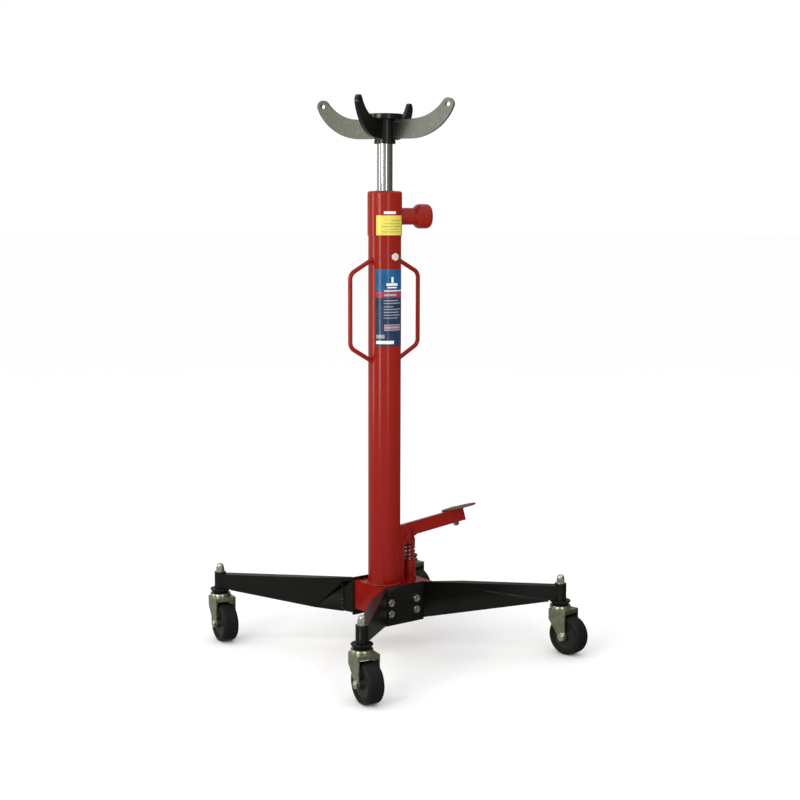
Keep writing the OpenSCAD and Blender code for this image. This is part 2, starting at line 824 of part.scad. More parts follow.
frame_front();
frame_rear();
base_block();
frame_bolts();
frame_washers();
column_tube();
column_collar();
ram_guide();
rod_seals();
pressure_cylinder();
cylinder_gasket();
handle_left();
handle_right();
release_housing();
release_knob();
release_spindle();
release_seal();
filler_plug();
filler_seal();
pump_barrel();
pump_gland();
check_balls();
check_springs();
fulcrum_bracket();
fulcrum_pin();
pedal_lever();
pedal_plate();
pedal_bolt();
plunger_pin();
plunger();
plunger_head();
pump_spring();
ram_rod();
ram_piston();
piston_seal();
piston_nut();
saddle_hub();
saddle_plate();
saddle_arms();
saddle_screw();
caster_stems();
dome_nuts();
swivel_races();
swivel_balls();
fork_left();
fork_front();
fork_right();
fork_rear();
axle_left();
axle_front();
axle_right();
axle_rear();
hub_left();
hub_front();
hub_right();
hub_rear();
tyre_left();
tyre_front();
tyre_right();
tyre_rear();
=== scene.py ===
import math

import bmesh
import bpy
from mathutils import Matrix, Vector, noise


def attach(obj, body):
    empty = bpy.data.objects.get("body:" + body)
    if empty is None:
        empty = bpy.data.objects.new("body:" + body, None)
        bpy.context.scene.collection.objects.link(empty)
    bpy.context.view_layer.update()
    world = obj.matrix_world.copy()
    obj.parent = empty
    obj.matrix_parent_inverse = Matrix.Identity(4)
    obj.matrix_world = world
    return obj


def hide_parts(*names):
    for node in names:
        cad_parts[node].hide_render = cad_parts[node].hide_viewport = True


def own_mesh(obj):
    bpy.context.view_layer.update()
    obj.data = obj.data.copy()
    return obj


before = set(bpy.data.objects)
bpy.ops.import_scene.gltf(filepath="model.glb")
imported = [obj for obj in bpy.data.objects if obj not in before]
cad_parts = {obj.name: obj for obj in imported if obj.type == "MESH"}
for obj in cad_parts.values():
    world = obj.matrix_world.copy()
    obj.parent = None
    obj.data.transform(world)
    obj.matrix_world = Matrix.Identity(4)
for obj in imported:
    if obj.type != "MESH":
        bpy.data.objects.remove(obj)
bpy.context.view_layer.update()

# ---- places, in metres in the row frame ----

MM = 0.001
COLUMN = Vector((-0.011, 0.025, 0.0))
COLUMN_R = 37.25 * MM
COLLAR_R = 39.0 * MM
STEM_REACH = 282.4 * MM
TRAIL = 25.5 * MM
AXLE_Z = 44.5 * MM
CASTERS = {"left": (-1, 1, -99), "front": (-1, -1, -99), "right": (1, -1, -82), "rear": (1, 1, -85)}
PUMP_X = 73.5
LEVER = (PUMP_X * MM, 266.9 * MM, 5.8, -15.0)
RELEASE_HEADING = -22.0
PLUG_HEADING = -92.5
ARM_HEADING = 30.8
RELEASE_Z, PLUG_Z = 994, 904      # millimetres
PLATE_Y = 67 * MM                 # outer face of the washers on the V-frames
BOLT_X = (-43.5, 29.7)            # millimetres in the row frame
BOLT_Z = (95, 121)
EAR_WELD = 24.4                   # just outside the outer face of the bracket's ears
WELD_LOW, WELD_HIGH = 152, 284    # ends of the weld along each ear
PAD_REACH = 156.5                 # along the lever from the plunger pin
HUB_R = 23 * MM


def on_column(x=0.0, y=0.0, z=0.0):
    """A place given in millimetres from the column axis, as a matrix."""
    return Matrix.Translation(COLUMN + Vector((x, y, z)) * MM)


def spin(degrees, axis="Z"):
    return Matrix.Rotation(math.radians(degrees), 4, axis)


def stem_frame(name):
    """The frame of a caster's fork: origin on the floor under the stem, X along the trail."""
    side_x, side_y, heading = CASTERS[name]
    spot = Vector((side_x * STEM_REACH, COLUMN.y + side_y * STEM_REACH, 0))
    return Matrix.Translation(spot) @ spin(heading)


def lever_frame():
    reach, height, slope, roll = LEVER
    return Matrix.Translation(COLUMN + Vector((reach, 0, height))) @ spin(-slope, "Y") @ spin(roll, "X")


# ---- materials ----


class Look:
    """A Principled material and short calls for the nodes that feed it."""

    def __init__(self, name, slot, **values):
        self.material = bpy.data.materials.new(name)
        self.material.use_nodes = True
        self.material["slot"] = slot
        self.tree = self.material.node_tree
        self.surface = self.tree.nodes["Principled BSDF"]
        self.where = self.node("ShaderNodeTexCoord").outputs["Object"]
        for socket, value in values.items():
            self.surface.inputs[socket.replace("_", " ")].default_value = value

    def node(self, kind, **values):
        made = self.tree.nodes.new(kind)
        for name, value in values.items():
            setattr(made, name, value)
        return made

    def feed(self, socket, value):
        if isinstance(value, bpy.types.NodeSocket):
            self.tree.links.new(value, socket)
        elif isinstance(value, tuple) and len(value) == 3 and socket.type == "RGBA":
            socket.default_value = (*value, 1)
        else:
            socket.default_value = value

    def set(self, name, value):
        self.feed(self.surface.inputs[name], value)

    def stretched(self, x, y, z):
        mapping = self.node("ShaderNodeMapping")
        self.feed(mapping.inputs["Vector"], self.where)
        mapping.inputs["Scale"].default_value = (x, y, z)
        return mapping.outputs["Vector"]

    def noise(self, scale, detail=3.0, rough=0.55, where=None, distort=0.0):
        made = self.node("ShaderNodeTexNoise")
        self.feed(made.inputs["Vector"], where or self.where)
        made.inputs["Scale"].default_value = scale
        made.inputs["Detail"].default_value = detail
        made.inputs["Roughness"].default_value = rough
        made.inputs["Distortion"].default_value = distort
        return made.outputs["Fac"]

    def math(self, operation, a, b=0.0, clamp=False):
        made = self.node("ShaderNodeMath", operation=operation, use_clamp=clamp)
        self.feed(made.inputs[0], a)
        self.feed(made.inputs[1], b)
        return made.outputs[0]

    def span(self, value, low, high, to_low=0.0, to_high=1.0):
        """Maps value from low..high to to_low..to_high, clamped."""
        made = self.node("ShaderNodeMapRange", interpolation_type="SMOOTHSTEP")
        self.feed(made.inputs["Value"], value)
        for name, number in (("From Min", low), ("From Max", high), ("To Min", to_low), ("To Max", to_high)):
            made.inputs[name].default_value = number
        return made.outputs["Result"]

    def mix(self, share, a, b):
        made = self.node("ShaderNodeMix", data_type="RGBA")
        self.feed(made.inputs[0], share)
        self.feed(made.inputs[6], a)
        self.feed(made.inputs[7], b)
        return made.outputs[2]

    def height(self):
        split = self.node("ShaderNodeSeparateXYZ")
        self.feed(split.inputs[0], self.where)
        return split.outputs["Z"]

    def edges(self, radius, low=0.02, high=0.25):
        """1 on sharp edges of the shape and 0 on its faces."""
        soft = self.node("ShaderNodeBevel", samples=4)
        soft.inputs["Radius"].default_value = radius
        true = self.node("ShaderNodeNewGeometry").outputs["Normal"]
        product = self.node("ShaderNodeVectorMath", operation="DOT_PRODUCT")
        self.feed(product.inputs[0], soft.outputs["Normal"])
        self.feed(product.inputs[1], true)
        bend = self.math("SUBTRACT", 1.0, product.outputs["Value"])
        return self.span(bend, low, high)

    def bump(self, height, distance, strength=1.0):
        made = self.node("ShaderNodeBump")
        self.feed(made.inputs["Height"], height)
        made.inputs["Distance"].default_value = distance
        made.inputs["Strength"].default_value = strength
        self.set("Normal", made.outputs["Normal"])


def enamel(name, slot, base, dark, bare, chips=0.74, rough=0.17, specular=0.5, foot=None,
           peel=0.000006, wear=0.5):
    """Gloss paint over metal: uneven colour, orange peel, dust, worn edges and small chips; with foot given,
    painted shade darkens it towards the bottom.
    """
    look = Look(name, slot, Specular_IOR_Level=specular)
    cloud = look.noise(9, 4)
    colour = look.mix(look.span(cloud, 0.35, 0.68), base, dark)
    # painted shade: below a given height the colour blends into a darker red, standing in for shade on the
    # lower parts
    if foot:
        low, high, shade = foot
        colour = look.mix(look.span(look.height(), low, high, 1.0, 0.0), colour, shade)
    grime = look.span(look.noise(55, 6, 0.65), 0.56, 0.8, 0.0, 0.12)
    colour = look.mix(grime, colour, dark)
    rim = look.edges(1.2 * MM)
    thin = look.math("MULTIPLY", rim, look.span(look.noise(210, 4), wear, wear + 0.14))
    scattered = look.span(look.noise(240, 2, 0.4), chips + 0.12, chips + 0.15)
    worn = look.math("MAXIMUM", thin, scattered)
    look.set("Base Color", look.mix(worn, colour, bare))
    speck = look.noise(120, 5)
    smooth = look.span(speck, 0.3, 0.75, rough * 0.94, rough * 1.08)
    look.set("Roughness", look.math("ADD", smooth, look.math("MULTIPLY", worn, 0.3)))
    skin = look.math("ADD", look.noise(700, 2), look.math("MULTIPLY", look.noise(60, 2), 2.0))
    look.bump(look.math("SUBTRACT", skin, look.math("MULTIPLY", worn, 2.0)), peel)
    return look


def metal(name, slot, base, dark, rough, metallic=1.0, grain=None, scale=90.0, depth=0.00003,
          vary=0.3):
    """Bare or plated metal with mottled tone, stains and fine scratches."""
    look = Look(name, slot, Metallic=metallic)
    where = look.stretched(*grain) if grain else look.where
    mottle = look.span(look.noise(scale, 5, 0.6, where), 0.32, 0.7)
    colour = look.mix(mottle, base, dark)
    rim = look.math("MULTIPLY", look.edges(0.8 * MM), 0.35)
    look.set("Base Color", look.mix(rim, colour, tuple(min(1, 1.7 * c) for c in base)))
    streaks = look.noise(scale * 6, 4, 0.6, where)
    look.set("Roughness", look.span(streaks, 0.3, 0.75, rough * (1 - vary), rough * (1 + vary)))
    look.bump(look.math("ADD", streaks, look.noise(scale * 1.5, 3)), depth)
    return look


def moulded(name, slot, base, dust, rough, specular=0.4, scale=150.0, dusty=0.35, depth=0.00006):
    """Rubber or moulded plastic with a matt skin and pale dust."""
    look = Look(name, slot, Specular_IOR_Level=specular)
    patch = look.span(look.noise(38, 6, 0.65), 0.5, 0.78, 0.0, dusty)
    scuff = look.math("MULTIPLY", look.edges(1.0 * MM), 0.25)
    look.set("Base Color", look.mix(look.math("MAXIMUM", patch, scuff), base, dust))
    grain = look.noise(scale * 5, 4)
    look.set("Roughness", look.span(look.noise(scale, 4), 0.3, 0.75, rough * 0.85, min(1.0, rough * 1.25)))
    look.bump(grain, depth)
    return look


def vinyl(name, base, dark, rough=0.2):
    """Printed sticker film, slightly uneven, with dark grime patches."""
    look = Look(name, "label", Specular_IOR_Level=0.5)
    tone = look.span(look.noise(30, 4), 0.3, 0.75)
    grime = look.span(look.noise(160, 5, 0.7), 0.58, 0.8, 0.0, 0.35)
    look.set("Base Color", look.mix(grime, look.mix(tone, base, dark), dark))
    look.set("Roughness", look.span(look.noise(90, 3), 0.3, 0.7, rough * 0.8, rough * 1.3))
    look.bump(look.noise(70, 3), 0.00003)
    return look


RED = (0.255, 0.0098, 0.0042)
RED_DARK = (0.225, 0.0080, 0.0036)
# darker red used as painted shade towards the bottom of the red parts
RED_FOOT_SHADE = (0.200, 0.0055, 0.0032)
PRIMER = (0.26, 0.13, 0.10)
BLACK = (0.0058, 0.0055, 0.0042)
BLACK_DARK = (0.0036, 0.0034, 0.0026)
CHIP = (0.20, 0.20, 0.17)

LOOKS = {
    # red paint with painted shade: darkest at 0.12 m, plain from 0.75 m up
    "red_paint": enamel("red_enamel", "red_paint", RED, RED_DARK, PRIMER, specular=0.36,
                        foot=(0.12, 0.75, RED_FOOT_SHADE)),
    "red_worn": enamel("red_worn", "red_paint", (0.12, 0.020, 0.012), (0.09, 0.013, 0.009),
                       (0.25, 0.18, 0.15),
                       chips=0.55, rough=0.4, wear=0.44),
    "black_paint": enamel("black_enamel", "black_paint", BLACK, BLACK_DARK, CHIP, rough=0.30,
                          specular=0.28, wear=0.58),
    "saddle_black": enamel("saddle_enamel", "black_paint", BLACK, BLACK_DARK, (0.10, 0.10, 0.085), rough=0.24,
                           specular=0.5, wear=0.56),
    "zinc": metal("dull_zinc", "zinc", (0.44, 0.45, 0.33), (0.28, 0.28, 0.19), 0.40),
    "bright_zinc": metal("bright_zinc", "zinc", (0.78, 0.78, 0.66), (0.55, 0.55, 0.44), 0.28),
    "plug_zinc": metal("plug_zinc", "zinc", (0.82, 0.79, 0.66), (0.66, 0.63, 0.50), 0.30, metallic=0.3),
    "chrome": metal("ram_chrome", "chrome", (0.80, 0.80, 0.78), (0.72, 0.72, 0.70), 0.085,
                    grain=(1.0, 1.0, 0.12), scale=260.0, depth=0.0000001, vary=0.04),
    "steel": metal("machined_steel", "steel", (0.50, 0.50, 0.47), (0.38, 0.38, 0.36), 0.30),
    "bronze": metal("guide_bronze", "bronze", (0.42, 0.26, 0.11), (0.30, 0.18, 0.07), 0.35),
    "rubber": moulded("seal_rubber", "rubber", (0.012, 0.012, 0.011), (0.06, 0.06, 0.05), 0.6),
    "wheel_plastic": moulded("wheel_plastic", "wheel_plastic", (0.0075, 0.0074, 0.0066),
                             (0.045, 0.045, 0.037), 0.46),
    "tyre": moulded("tyre_rubber", "tyre", (0.0062, 0.0060, 0.0054), (0.038, 0.037, 0.032), 0.5,
                   specular=0.2, dusty=0.12),
    "yellow": vinyl("label_yellow", (0.68, 0.60, 0.10), (0.60, 0.51, 0.07)),
    "white": vinyl("label_white", (0.78, 0.78, 0.76), (0.66, 0.66, 0.64)),
    "blue": vinyl("label_blue", (0.010, 0.092, 0.235), (0.007, 0.068, 0.185)),
    "navy": vinyl("label_navy", (0.020, 0.038, 0.088), (0.013, 0.026, 0.064)),
    "crimson": vinyl("label_crimson", (0.34, 0.030, 0.050), (0.27, 0.022, 0.036)),
    "pale": vinyl("label_pale", (0.30, 0.34, 0.40), (0.20, 0.24, 0.30)),
    "ink": vinyl("label_ink", (0.22, 0.18, 0.03), (0.15, 0.12, 0.02)),
}


# ---- mesh building ----


def fillet(points, steps=5, closed=True):
    """Rounds the corners of a 2-D outline: a point may carry a radius as its third value."""
    made = []
    count = len(points)
    for i, point in enumerate(points):
        radius = point[2] if len(point) > 2 else 0
        here = Vector(point[:2])
        if not radius or (not closed and i in (0, count - 1)):
            made.append(here)
            continue
        back = (Vector(points[i - 1][:2]) - here).normalized()
        ahead = (Vector(points[(i + 1) % count][:2]) - here).normalized()
        half = back.angle(ahead) / 2
        centre = here + (back + ahead).normalized() * radius / math.sin(half)
        start = here + back * radius / math.tan(half) - centre
        end = here + ahead * radius / math.tan(half) - centre
        turn = start.angle_signed(end) if start.length and end.length else 0
        for k in range(steps + 1):
            arm = start.copy()
            arm.rotate(Matrix.Rotation(-turn * k / steps, 2))
            made.append(centre + arm)
    return made


def lathe(bm, profile, matrix, segments=96, closed=True):
    """Revolves (radius, height) pairs in millimetres about the matrix's Z axis."""
    rings = []
    for radius, height in profile:
        if radius < 1e-6:
            rings.append([bm.verts.new(matrix @ Vector((0, 0, height * MM)))])
            continue
        ring = []
        for i in range(segments):
            angle = 2 * math.pi * i / segments
            ring.append(bm.verts.new(matrix @ Vector(
                (radius * math.cos(angle) * MM, radius * math.sin(angle) * MM, height * MM))))
        rings.append(ring)
    for low, high in zip(rings, rings[1:] + (rings[:1] if closed else [])):
        if len(low) == len(high) == 1:
            continue
        for i in range(segments):
            j = (i + 1) % segments
            corners = [low[i % len(low)], low[j % len(low)], high[j % len(high)], high[i % len(high)]]
            bm.faces.new(list(dict.fromkeys(corners)))


def hexagon(bm, matrix, flats, height, segments=72, chamfer=0.6, both=False, dish=0.0):
    """A turned hexagon with conical chamfers, standing on the matrix's XY plane. Millimetres."""
    inner = flats / 2 * 0.96
    matrix = matrix @ Matrix.Scale(MM, 4)

    def corner(i):
        angle = 2 * math.pi * i / segments
        return flats / 2 / math.cos((angle % (math.pi / 3)) - math.pi / 6)

    def ring(radius_of, height_of):
        made = []
        for i in range(segments):
            angle = 2 * math.pi * i / segments
            r = radius_of(i)
            spot = Vector((r * math.cos(angle), r * math.sin(angle), height_of(i)))
            made.append(bm.verts.new(matrix @ spot))
        return made

    drop = [(corner(i) - inner) * chamfer for i in range(segments)]
    rings = []
    if both:
        rings.append(ring(lambda i: inner, lambda i: 0.0))
        rings.append(ring(corner, lambda i: drop[i]))
    else:
        rings.append(ring(corner, lambda i: 0.0))
    rings.append(ring(corner, lambda i: height - drop[i]))
    rings.append(ring(lambda i: inner, lambda i: height))
    if dish:
        rings.append(ring(lambda i: inner * 0.62, lambda i: height))
        rings.append(ring(lambda i: inner * 0.54, lambda i: height - dish))
    for low, high in zip(rings, rings[1:]):
        for i in range(segments):
            j = (i + 1) % segments
            bm.faces.new((low[i], low[j], high[j], high[i]))
    bm.faces.new(list(reversed(rings[0])))
    bm.faces.new(rings[-1])


def tube(bm, points, radius_at, sides=16, closed=False):
    """Sweeps a round section along points; radius_at(i) is its radius there, in metres."""
    count = len(points)
    side = None
    rings = []
    for i, point in enumerate(points):
        before = points[i - 1] if closed or i else point
        after = points[(i + 1) % count] if closed or i < count - 1 else point
        along = (after - before).normalized()
        if side is None:
            side = along.orthogonal()
        side = (side - along * side.dot(along)).normalized()
        other = along.cross(side)
        r = radius_at(i)
        rings.append([bm.verts.new(point + (side * math.cos(a) + other * math.sin(a)) * r)
                      for a in (2 * math.pi * k / sides for k in range(sides))])
    for low, high in zip(rings, rings[1:]):
        for k in range(sides):
            m = (k + 1) % sides
            bm.faces.new((low[k], low[m], high[m], high[k]))
    if closed:
        low, high = rings[-1], rings[0]
        shift = min(range(sides), key=lambda s: (low[0].co - high[s].co).length)
        for k in range(sides):
            m = (k + 1) % sides
            bm.faces.new((low[k], low[m], high[(m + shift) % sides], high[(k + shift) % sides]))
    else:
        bm.faces.new(list(reversed(rings[0])))
        bm.faces.new(rings[-1])


def resampled(points, step, closed=False):
    """Points at an even step along a polyline."""
    line = list(points) + ([points[0]] if closed else [])
    made, left = [line[0].copy()], step
    for a, b in zip(line, line[1:]):
        length = (b - a).length
        at = left
        while at <= length:
            made.append(a.lerp(b, at / length))
            at += step
        left = at - length
    if closed and (made[-1] - made[0]).length < step * 0.6:
        made.pop()
    return made


def bead(bm, path, radius, closed=False, pitch=3.2 * MM, seed=0.0):
    """A weld bead: a tube with the overlapping ripples of a weld pool."""
    step = pitch / 5
    points = resampled(path, step, closed)

    def thick(i):
        ripple = abs(math.sin(math.pi * i * step / pitch))
        wander = noise.noise(Vector((i * 0.11, seed, 0.3)))
        return radius * (0.84 + 0.16 * ripple + 0.10 * wander)

    tube(bm, points, thick, 10, closed)


def piece(name, bm, body, look, replaces=(), sharp=35.0, bevel=0.0):
    """Turns a bmesh into a piece that rides on a body, with one of the looks."""
    bmesh.ops.recalc_face_normals(bm, faces=bm.faces[:])
    mesh = bpy.data.meshes.new(name)
    bm.to_mesh(mesh)
    bm.free()
    for face in mesh.polygons:
        face.use_smooth = True
    mesh.set_sharp_from_angle(angle=math.radians(sharp))
    made = bpy.data.objects.new(name, mesh)
    bpy.context.scene.collection.objects.link(made)
    material = LOOKS[look].material
    mesh.materials.append(material)
    if bevel:
        cut = made.modifiers.new("edge_round", "BEVEL")
        cut.width = bevel
        cut.segments = 3
        cut.limit_method = "ANGLE"
        cut.angle_limit = math.radians(sharp)
        cut.miter_outer = "MITER_ARC"
        even = made.modifiers.new("even_normals", "WEIGHTED_NORMAL")
        even.keep_sharp = False
        even.weight = 60
        for edge in mesh.edges:
            edge.use_edge_sharp = False
    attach(made, body)
    if replaces:
        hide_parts(*replaces)
    return made


def softened(node, body, look, width, name, sharp=30.0):
    """A copy of a CAD node with its triangles merged into faces and its sharp edges rounded."""
    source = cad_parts[node].data
    mesh = bpy.data.meshes.new("scratch")
    mesh.from_pydata([v.co for v in source.vertices], [], [list(p.vertices) for p in source.polygons])
    bm = bmesh.new()
    bm.from_mesh(mesh)
    bpy.data.meshes.remove(mesh)
    bmesh.ops.remove_doubles(bm, verts=bm.verts[:], dist=1e-6)
    bmesh.ops.dissolve_limit(bm, angle_limit=math.radians(0.6), verts=bm.verts[:], edges=bm.edges[:])
    return piece(name, bm, body, look, (node,), sharp, width)


# ---- base ----

softened("frame_front", "base", "black_paint", 0.9 * MM, "v_frame_front")
softened("frame_rear", "base", "black_paint", 0.9 * MM, "v_frame_rear")
softened("base_block", "base", "red_paint", 1.2 * MM, "pump_block")

bm = bmesh.new()
for side in (-1, 1):
    face = Matrix.Translation((0, COLUMN.y + side * PLATE_Y, 0)) @ spin(-90 * side, "X")
    for x in BOLT_X:
        for i, z in enumerate(BOLT_Z):
            spot = face @ Matrix.Translation((x * MM, -side * z * MM, 0)) @ spin(17 * (i + x / 30))
            hexagon(bm, spot, 16, 6.5, dish=0.7)
piece("frame_bolt_heads", bm, "base", "bright_zinc", ("frame_bolts",), 30)


def ring_path(matrix, radius, steps=180):
    return [matrix @ Vector((radius * math.cos(a), radius * math.sin(a), 0))
            for a in (2 * math.pi * k / steps for k in range(steps))]


def saddle_path(radius_in, radius_out, matrix, steps=120):
    """The line where a round stem along X meets a round column along Z."""
    return [matrix @ Vector((math.sqrt(radius_out ** 2 - (radius_in * math.cos(a)) ** 2),
                             radius_in * math.cos(a), radius_in * math.sin(a)))
            for a in (2 * math.pi * k / steps for k in range(steps))]


def handle_path(mirror):
    corners = [(34, 898.5), (96, 866, 20), (96, 702, 20), (34, 667)]
    flat = fillet(corners, 12, closed=False)
    return [COLUMN + Vector((mirror * p.x * MM, 0, p.y * MM)) for p in flat]


bm = bmesh.new()
bead(bm, ring_path(on_column(z=151.2), COLUMN_R + 0.6 * MM), 2.6 * MM, True)
release = on_column(z=RELEASE_Z) @ spin(RELEASE_HEADING)
bead(bm, saddle_path(19.3 * MM, COLLAR_R - 0.2 * MM, release), 1.5 * MM, True, seed=4.0)
for mirror in (-1, 1):
    for high in (True, False):
        path = handle_path(mirror)
        root, inner = (path[0], path[1]) if high else (path[-1], path[-2])
        along = (inner - root).normalized()
        share = (COLUMN_R - abs(root.x - COLUMN.x)) / abs(along.x)
        turned = along.to_track_quat("Z", "Y").to_matrix().to_4x4()
        foot = Matrix.Translation(root + along * (share + 0.4 * MM)) @ turned
        bead(bm, ring_path(foot, 5.2 * MM, 60), 1.5 * MM, True, 2.6 * MM, seed=mirror + 2.0 * high)
for side in (-1, 1):
    y = side * EAR_WELD * MM
    x = math.sqrt(COLUMN_R ** 2 - y ** 2)
    ends = [COLUMN + Vector((x + 0.5 * MM, y, z * MM)) for z in (WELD_LOW, WELD_HIGH)]
    bead(bm, ends, 1.7 * MM, seed=side + 7.0)
piece("welds_base", bm, "base", "red_paint", (), 60)

for name, mirror in (("left", -1), ("right", 1)):
    bm = bmesh.new()
    tube(bm, resampled(handle_path(mirror), 1.5 * MM), lambda i: 5.0 * MM, 28)
    piece("grab_handle_" + name, bm, "base", "red_paint", ("handle_" + name,), 50)

# ---- filler plug ----

plug = on_column(z=PLUG_Z) @ spin(PLUG_HEADING) @ spin(90, "Y")
bm = bmesh.new()
hexagon(bm, plug @ Matrix.Translation((0, 0, 38.65 * MM)), 15, 5.4)
lathe(bm, fillet([(0, 37.35), (7.2, 37.35, 0.4), (7.2, 38.75, 0.3), (0, 38.75)], closed=False),
      plug, 48, False)
piece("plug_head", bm, "base", "plug_zinc", ("filler_plug",), 30)

# ---- foot pump ----

bm = bmesh.new()
wire, spring_low, spring_high, turns, dead = 2.3, 197.2, 233.8, 4.0, 0.75
pump = on_column(x=PUMP_X)
path = [k / 48 for k in range(int(turns * 48) + 1)]
pitch_dead = 5.2
open_pitch = (spring_high - spring_low - 2 * wire - 2 * dead * pitch_dead) / (turns - 2 * dead)
points = []
for t in path:
    closed_turns = min(t, dead) + max(0.0, t - turns + dead)
    open_turns = max(0.0, min(t, turns - dead) - dead)
    z = spring_low + wire + pitch_dead * closed_turns + open_pitch * open_turns
    a = 2 * math.pi * t
    points.append(pump @ (Vector(((14.5 - wire) * math.cos(a), (14.5 - wire) * math.sin(a), z)) * MM))
tube(bm, points, lambda i: wire * MM, 14)
spring = piece("return_spring", bm, "base", "red_paint", ("pump_spring",), 60)

softened("fulcrum_bracket", "base", "red_paint", 0.7 * MM, "pedal_bracket")
softened("pedal_lever", "pedal", "red_paint", 1.4 * MM, "pedal_lever_tube")
softened("plunger_head", "plunger", "red_paint", 0.8 * MM, "plunger_clevis")
bm = bmesh.new()
pad = lever_frame() @ Matrix.Translation((PAD_REACH * MM, 0, 15 * MM))
lathe(bm, fillet([(0, 0), (42, 0, 0.9), (42, 4, 1.4), (38, 4.0), (37.2, 3.7), (0, 3.7)], closed=False),
      pad, 128, False)
piece("foot_pad", bm, "pedal", "red_worn", ("pedal_plate",), 35)

# ---- saddle ----

hub = on_column()
bm = bmesh.new()
lathe(bm, fillet([(14.2, 1154.4, 0.5), (24, 1154.4, 1.0), (24, 1161.6, 0.8), (23, 1162.4, 0.3), (23, 1208),
                  (14.2, 1208)]), hub, 96)
piece("saddle_socket", bm, "saddle", "saddle_black", ("saddle_hub",), 35)
bm = bmesh.new()
dish = [(0, 1208), (40.5, 1208, 1.0), (40.5, 1220, 1.4), (35.2, 1220, 0.9), (34.5, 1217, 0.8), (0, 1217)]
lathe(bm, fillet(dish, closed=False), hub, 128, False)
piece("saddle_dish", bm, "saddle", "saddle_black", ("saddle_plate",), 35)
softened("saddle_arms", "saddle", "saddle_black", 1.3 * MM, "saddle_horns")
bm = bmesh.new()
for k in range(4):
    turned = on_column() @ spin(ARM_HEADING + 90 * k)
    for side in (-1, 1):
        y = side * 4.3 * MM
        x = math.sqrt(HUB_R ** 2 - y ** 2) + 0.3 * MM
        bead(bm, [turned @ Vector((x, y, 1167 * MM)), turned @ Vector((x, y, 1206 * MM))], 1.4 * MM,
             seed=k + side)
        bead(bm, [turned @ Vector((24 * MM, y, 1207.4 * MM)), turned @ Vector((39 * MM, y, 1207.4 * MM))],
             1.2 * MM, seed=k + side + 9)
piece("welds_saddle", bm, "saddle", "saddle_black", (), 60)

# ---- casters ----

bm_nuts, bm_flanges = bmesh.new(), bmesh.new()
for name in CASTERS:
    at = stem_frame(name)
    lathe(bm_nuts, fillet([(6.3, 160.5, 0.2), (10, 160.5, 0.4), (10, 162.5, 0.4), (6.3, 162.5, 0.2)]), at, 64)
    hexagon(bm_nuts, at @ Matrix.Translation((0, 0, 162.5 * MM)), 17, 9.2, both=True)
    dome = [(8.0, 170.9), (8.1, 173.1)]
    dome += [(8.2 * math.cos(a), 173.5 + 8.15 * math.sin(a))
             for a in (math.radians(9 * k) for k in range(1, 11))]
    dome[-1] = (0, 181.65)
    lathe(bm_nuts, [(0, 170.9)] + dome, at, 64, False)
    flange = [(6.3, 111.1), (17.8, 111.1, 0.6), (19.1, 113.5, 1.5), (21.8, 117.2, 1.2), (23.5, 118.4, 1.0),
              (23.5, 121.6, 1.2), (21.4, 121.9, 0.8), (18.5, 120.9, 1.5), (13.6, 120.6), (13.6, 121.9),
              (6.3, 121.9)]
    lathe(bm_flanges, fillet(flange), at, 96)
piece("acorn_nuts", bm_nuts, "base", "bright_zinc", ("dome_nuts",), 30)
piece("swivel_flanges", bm_flanges, "base", "black_paint", ("swivel_races",), 30)


def wheel_profile():
    """Half of the tyre's section, mirrored: bead, side, round shoulder and a slightly crowned tread."""
    side = [(31.05, -16.4, 0.5), (33.5, -16.8, 0.5), (34.6, -18.4, 0.6), (36.2, -18.9)]
    shoulder = [(36.8 + 7.6 * math.sin(a), -11.3 - 7.6 * math.cos(a))
                for a in (math.radians(9 * k) for k in range(1, 11))]
    tread = [(44.46, -6.0), (44.5, -0.3)]
    half = fillet(side, 3, closed=False) + [Vector(p) for p in shoulder + tread]
    return half + [Vector((p.x, -p.y)) for p in reversed(half)]


for name in CASTERS:
    at = stem_frame(name)
    body = "caster_" + name
    softened("fork_" + name, body, "zinc", 1.4 * MM, "fork_shell_" + name, 35)
    bm = bmesh.new()
    lathe(bm, fillet([(22.0, 104.1), (24.0, 104.1, 0.4), (24.2, 106.0, 0.6), (23.6, 109.8, 0.8),
                      (22.6, 110.7, 0.3), (22.0, 110.7)]), at, 96)
    piece("race_ring_" + name, bm, body, "bright_zinc", (), 35)

    axle = at @ Matrix.Translation((TRAIL, 0, AXLE_Z))
    bm = bmesh.new()
    hexagon(bm, axle @ Matrix.Translation((0, 25 * MM, 0)) @ spin(-90, "X") @ spin(11), 17, 5, both=False)
    hexagon(bm, axle @ Matrix.Translation((0, -25 * MM, 0)) @ spin(90, "X") @ spin(23), 17, 5.6, both=True)
    lathe(bm, fillet([(0, -25.8), (5.9, -25.8), (5.9, 31.4, 1.2), (0, 31.9)], closed=False),
          axle @ spin(90, "X"), 48, False)
    piece("axle_bolt_" + name, bm, body, "bright_zinc", ("axle_" + name,), 30)

    wheel = axle @ spin(90, "X")
    bm = bmesh.new()
    lathe(bm, [(p.x, p.y) for p in wheel_profile()], wheel, 128)
    piece("tyre_tread_" + name, bm, "wheel_" + name, "tyre", ("tyre_" + name,), 40)
    bm = bmesh.new()
    face = [(6.1, -20.8, 0.4), (11.4, -20.8, 1.0), (12.0, -15.0, 1.2), (24.5, -14.2, 1.0), (26.0, -15.4, 0.8),
            (30.9, -15.6, 0.6)]
    lathe(bm, fillet(face + [(r, -z, round_r) for r, z, round_r in reversed(face)], 3), wheel, 96)
    piece("wheel_centre_" + name, bm, "wheel_" + name, "wheel_plastic", ("hub_" + name,), 35)

# ---- stickers ----


